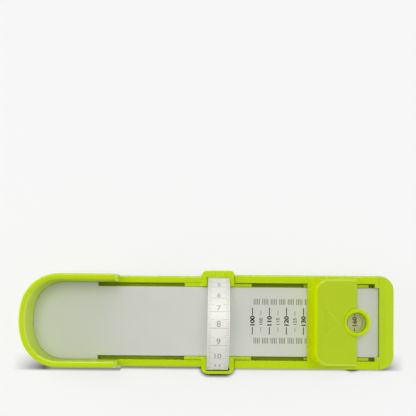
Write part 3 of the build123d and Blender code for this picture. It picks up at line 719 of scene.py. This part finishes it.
def ribbon(path):
    """A closed strip of tape along a path, between the tape's two edges."""
    made = bmesh.new()
    layers = []
    for depth in (0.0, TAPE_THICKNESS):
        rows = []
        for point, heading in zip(path.points, path.headings):
            y, z = point - outward(heading) * depth
            x_start = tape_low.x + TAPE_SKEW * y
            places = [x_start + tape_width * c / TAPE_COLUMNS for c in range(TAPE_COLUMNS + 1)]
            rows.append([made.verts.new((x, y, z)) for x in places])
        layers.append(rows)
    top, bottom = layers
    for i in range(len(top) - 1):
        for c in range(TAPE_COLUMNS):
            made.faces.new((top[i][c], top[i][c + 1], top[i + 1][c + 1], top[i + 1][c]))
            made.faces.new((bottom[i][c], bottom[i + 1][c], bottom[i + 1][c + 1], bottom[i][c + 1]))
        for c in (0, TAPE_COLUMNS):
            made.faces.new((top[i][c], top[i + 1][c], bottom[i + 1][c], bottom[i][c]))
    for i in (0, len(top) - 1):
        for c in range(TAPE_COLUMNS):
            made.faces.new((top[i][c], bottom[i][c], bottom[i][c + 1], top[i][c + 1]))
    bmesh.ops.recalc_face_normals(made, faces=made.faces)
    for face in made.faces:
        face.smooth = True
    mesh = bpy.data.meshes.new("ribbon")
    made.to_mesh(mesh)
    made.free()
    mesh.set_sharp_from_angle(angle=SHARP_ANGLE)
    return mesh


def on_tape(path, length, x):
    """Moves a flat part onto the arch, its top towards the fixed end."""

    def move(p):
        point, out = path.at(length - p.y)
        y, z = point + out * p.z
        return Vector((x + p.x + TAPE_SKEW * y, y, z))

    return move


def in_strips(part):
    """Cuts a flat part across, so that it can follow the arch's curve."""
    low = min(v.co.y for v in part.verts)
    high = max(v.co.y for v in part.verts)
    for i in range(1, math.ceil((high - low) / STRIP)):
        everything = [*part.verts, *part.edges, *part.faces]
        bmesh.ops.bisect_plane(part, geom=everything, plane_co=(0, low + i * STRIP, 0), plane_no=(0, 1, 0))
    return part


FIRST_LINE = 11.5 * MM              # from the arch's far end to its first centimetre line
FIRST_NUMBER = 5
TAPE_FIGURE = {"height": 3.7 * MM, "stretch": 0.95, "weight": 0.01}
FIGURE_ABOVE_LINE = 0.6 * MM
LINE_WIDTH, TICK_LINE_WIDTH = 0.24 * MM, 0.168 * MM
MM_TICK, HALF_TICK = 2.0 * MM, 3.6 * MM
PRINT_INSET = 0.2 * MM              # of the print from the tape's edges
STRIP = 0.5 * MM                    # width of the strips that a figure is cut into


def print_tape(path):
    """Centimetre lines with their numbers, and millimetre ticks along both edges."""
    parts = []
    first_tick = -int(FIRST_LINE / MM)
    last_tick = int((path.lengths[-1] - FIRST_LINE) / MM)
    for tick in range(first_tick, last_tick + 1):
        length = FIRST_LINE + tick * MM
        if tick % 10 == 0:
            parts.append((bar(tape_width - 2 * PRINT_INSET, LINE_WIDTH), on_tape(path, length, x_tape)))
            raised = length - TAPE_FIGURE["height"] / 2 - FIGURE_ABOVE_LINE
            if raised > TAPE_FIGURE["height"]:
                number = figures(str(FIRST_NUMBER + tick // 10), **TAPE_FIGURE)
                parts.append((in_strips(number), on_tape(path, raised, x_tape)))
        else:
            size = HALF_TICK if tick % 5 == 0 else MM_TICK
            for side in (-1, 1):
                x = x_tape + side * (tape_width / 2 - PRINT_INSET - size / 2)
                parts.append((bar(size, TICK_LINE_WIDTH), on_tape(path, length, x)))
    return gather(parts)


def add_tape():
    """The tape's three stretches and its print."""
    fixed, arch, lower = tape_paths()
    for name, path in (("tape_fixed_end", fixed), ("tape_arch", arch), ("tape_near_leg", lower)):
        piece = new_piece(name, ribbon(path), MATERIALS["tape"], "tape_carriage")
        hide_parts("measuring_tape")
        if path is arch:
            flatten(piece)
    flatten(new_piece("tape_print", print_tape(arch), MATERIALS["tape_print"], "tape_carriage"))


def flatten(piece):
    """Gives the piece its own copy of its mesh."""
    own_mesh(piece)


# ================================================================ floor
FLOOR_SIZE = 6.0                    # metres
BACKDROP = srgb(246, 246, 246)
WHITE_SHARE = 0.72                  # of the floor, shown at its plain colour
WHITE_FADE = (0.3, 0.8)             # metres from the middle: that share begins to grow, and is whole

# the dark contact shadow, painted into the floor's colour by how much of this way the object closes off
# within the reach
CONTACT_REACH = 4.5 * MM
CONTACT_WAY = (0.0, 0.8, 0.6)
CONTACT_RANGE = (0.60, 0.86)        # of the openness, from dark to white
CONTACT_SAMPLES = 16

# the shade painted on the floor at the near edge: a soft patch at both corners, and a thin line between
# them
SHADE = srgb(44, 46, 36)
CORNER_DEPTH, LINE_DEPTH = 0.9, 0.72
CORNER_INSETS = (
    # an end of the gauge, the way inward, and how far in the painted shade begins, is full and has ended
    (heel_end, 1, (-9.425 * MM, 9.575 * MM, 28.075 * MM)),
    (toe_end, -1, (-9.425 * MM, 4.575 * MM, 22.075 * MM)),
)
# distances behind the toe rail's outer face, where the painted shade begins or is full, and is full or
# gone
SHADE_FRONT = (-2.0 * MM, -0.6 * MM)
CORNER_BACK = (0.9 * MM, 9.4 * MM)
LINE_BACK = (-0.1 * MM, 1.9 * MM)
CUP_WIDER = 1.2 * MM                # the painted shade lies this much further out along the heel cup


def near_edge_shade(tree):
    """The shade painted under the near edge: a thin line, and a soft patch that reaches past each end."""
    x = tree.along("X", tree.position)
    wider = tree.spread(x, CUP_WIDER, 0.0, cup_end, cup_end + CUP_WIDER)
    y = tree.maths("ADD", tree.along("Y", tree.position), wider)

    def rises(distances):
        return tree.spread(y, 0.0, 1.0, *(tray_low.y + distance for distance in distances))

    def falls(distances):
        return tree.spread(y, 1.0, 0.0, *(tray_low.y + distance for distance in distances))

    corners, between = 0.0, LINE_DEPTH
    for end, inward, insets in CORNER_INSETS:
        begins, full, ended = (end + inward * inset for inset in insets)
        rise = tree.spread(x, 0.0, 1.0, begins, full)
        corner = tree.maths("MULTIPLY", rise, tree.spread(x, 1.0, 0.0, full, ended))
        corners = tree.maths("ADD", corner, corners)
        between = tree.maths("MULTIPLY", rise, between)
    patch = tree.maths("MULTIPLY", tree.maths("MULTIPLY", corners, CORNER_DEPTH), falls(CORNER_BACK))
    line = tree.maths("MULTIPLY", between, falls(LINE_BACK))
    return tree.maths("MULTIPLY", tree.maths("MAXIMUM", patch, line), rises(SHADE_FRONT))


def floor_finish():
    """A pale floor that keeps the gauge's shadow from the lamps, with a contact shadow and a near-edge
    shade painted into its colour.
    """
    tree = Tree("floor")
    way = tree.node("ShaderNodeCombineXYZ", X=CONTACT_WAY[0], Y=CONTACT_WAY[1], Z=CONTACT_WAY[2])
    closeness = tree.node(
        "ShaderNodeAmbientOcclusion",
        {"samples": CONTACT_SAMPLES},
        Distance=CONTACT_REACH,
        Normal=way.outputs[0],
    )
    # painted shadow: the floor's colour darkens where the gauge closes it off nearby
    contact = tree.spread(closeness.outputs["AO"], 0.0, 1.0, *CONTACT_RANGE)
    open_share = tree.maths("MULTIPLY", contact, tree.maths("SUBTRACT", 1.0, near_edge_shade(tree)))
    colour = tree.mix(open_share, SHADE, BACKDROP)
    lit = tree.node("ShaderNodeBsdfDiffuse", Color=colour)
    plain = tree.node("ShaderNodeEmission", Color=colour, Strength=1.0)
    share = tree.spread(tree.vector("LENGTH", tree.position), WHITE_SHARE, 1.0, *WHITE_FADE)
    tree.mix_shaders(tree.maths("MULTIPLY", tree.sees_backdrop(), share), lit, plain)
    return tree.owner


def add_floor():
    """A flat square under the gauge, part of the stage."""
    mesh = bpy.data.meshes.new("floor")
    half = FLOOR_SIZE / 2
    corners = [(-half, -half, 0), (half, -half, 0), (half, half, 0), (-half, half, 0)]
    mesh.from_pydata(corners, [], [(0, 1, 2, 3)])
    mesh.materials.append(floor_finish())
    floor = bpy.data.objects.new("floor", mesh)
    bpy.context.scene.collection.objects.link(floor)


# ================================================================ light
KEY_TILT = (math.radians(-8), math.radians(-3), 0)    # towards the far side and the heel end
KEY_STRENGTH = 1.28
KEY_SIZE = math.radians(34)
SKY = (1, 1, 1, 1)
SKY_STRENGTH = 0.44
SOFT_BOXES = {
    # place, width and height in metres, and power
    "toe_box": ((0.85, 0.0, 0.24), (0.9, 0.4), 2.2),
    "heel_box": ((-0.85, 0.1, 0.28), (0.9, 0.4), 3.4),
}
GLINT_BOX = ((-0.15, 0.62, 0.32), (1.0, 0.55), 17.0)  # only shows as a glint on the far edges


def soft_box(name, place, size, power):
    """A lit panel that looks at the origin."""
    panel = bpy.data.lights.new(name, "AREA")
    panel.shape = "RECTANGLE"
    panel.size, panel.size_y = size
    panel.energy = power
    box = bpy.data.objects.new(name, panel)
    box.location = place
    box.rotation_euler = (-Vector(place)).to_track_quat("-Z", "Y").to_euler()
    bpy.context.scene.collection.objects.link(box)
    return box


def sky_finish():
    """A plain sky that lights the gauge, and the backdrop's colour where it is seen itself."""
    tree = Tree("sky", "World")
    sky = tree.node("ShaderNodeBackground", Color=SKY, Strength=SKY_STRENGTH)
    backdrop = tree.node("ShaderNodeBackground", Color=BACKDROP)
    tree.mix_shaders(tree.sees_backdrop(), sky, backdrop)
    return tree.owner


def add_light():
    """A wide key light from above, soft boxes at both ends and behind, and the sky."""
    lamp = bpy.data.lights.new("key", "SUN")
    lamp.energy = KEY_STRENGTH
    lamp.angle = KEY_SIZE
    key = bpy.data.objects.new("key", lamp)
    key.rotation_euler = KEY_TILT
    key.visible_glossy = False
    bpy.context.scene.collection.objects.link(key)
    for name, box in SOFT_BOXES.items():
        soft_box(name, *box)
    soft_box("glint_box", *GLINT_BOX).visible_diffuse = False
    bpy.context.scene.world = sky_finish()


# ================================================================ the scene
def clear_start():
    """Takes away what a new Blender file holds."""
    for left_over in [o for o in bpy.data.objects if o.type in ("LIGHT", "CAMERA") or o.name == "Cube"]:
        bpy.data.objects.remove(left_over)


clear_start()
bpy.context.scene.view_settings.view_transform = "Standard"
add_camera()
add_floor()
add_light()
finish_nodes()
print_scale()
add_tape()
